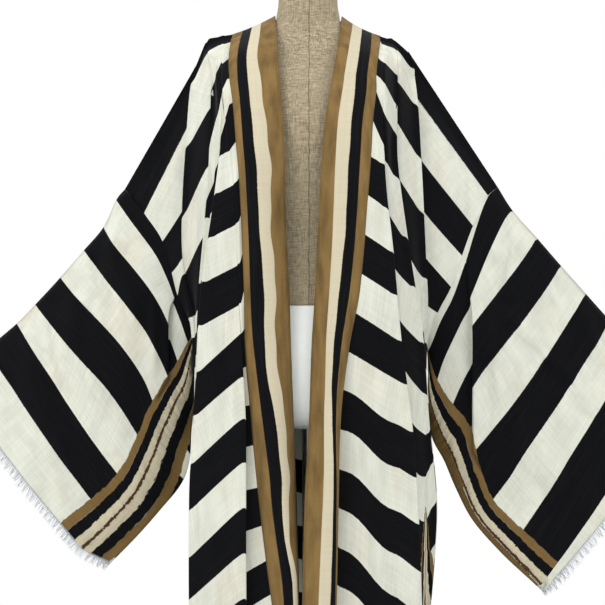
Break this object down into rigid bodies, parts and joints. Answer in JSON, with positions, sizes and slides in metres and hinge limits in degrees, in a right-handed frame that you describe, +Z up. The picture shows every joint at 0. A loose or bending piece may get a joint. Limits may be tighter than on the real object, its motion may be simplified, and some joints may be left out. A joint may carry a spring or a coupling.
{
  "type": "beach kimono on a dress form",
  "caption": "Open-front, drop-shoulder beach kimono in striped voile with wide fringed sleeves, worn by a limbless linen-covered dress form on a pole stand.",
  "frame": {"origin": "centre of the stand base's underside, on the floor", "axes": "+Z up, the wearer faces -Y, +X toward the wearer's left arm"},
  "size_m": [1.4476, 0.38, 1.6263],
  "materials": {
    "striped_voile": "matt",
    "band_voile": "matt",
    "fringe_yarn": "matt",
    "form_linen": "matt",
    "form_shell": "satin",
    "cap_wood": "varnished",
    "stand_steel": "brushed"
  },
  "bodies": {
    "root": {"front_left": "striped_voile", "front_right": "striped_voile", "back": "striped_voile", "sleeve_left": "striped_voile", "sleeve_right": "striped_voile", "collar_band": "band_voile", "fringe_left": "fringe_yarn", "fringe_right": "fringe_yarn", "form_torso": "form_linen", "form_hip": "form_shell", "form_neck_cap": "cap_wood", "stand_pole": "stand_steel", "stand_base": "stand_steel"}
  },
  "joints": []
}
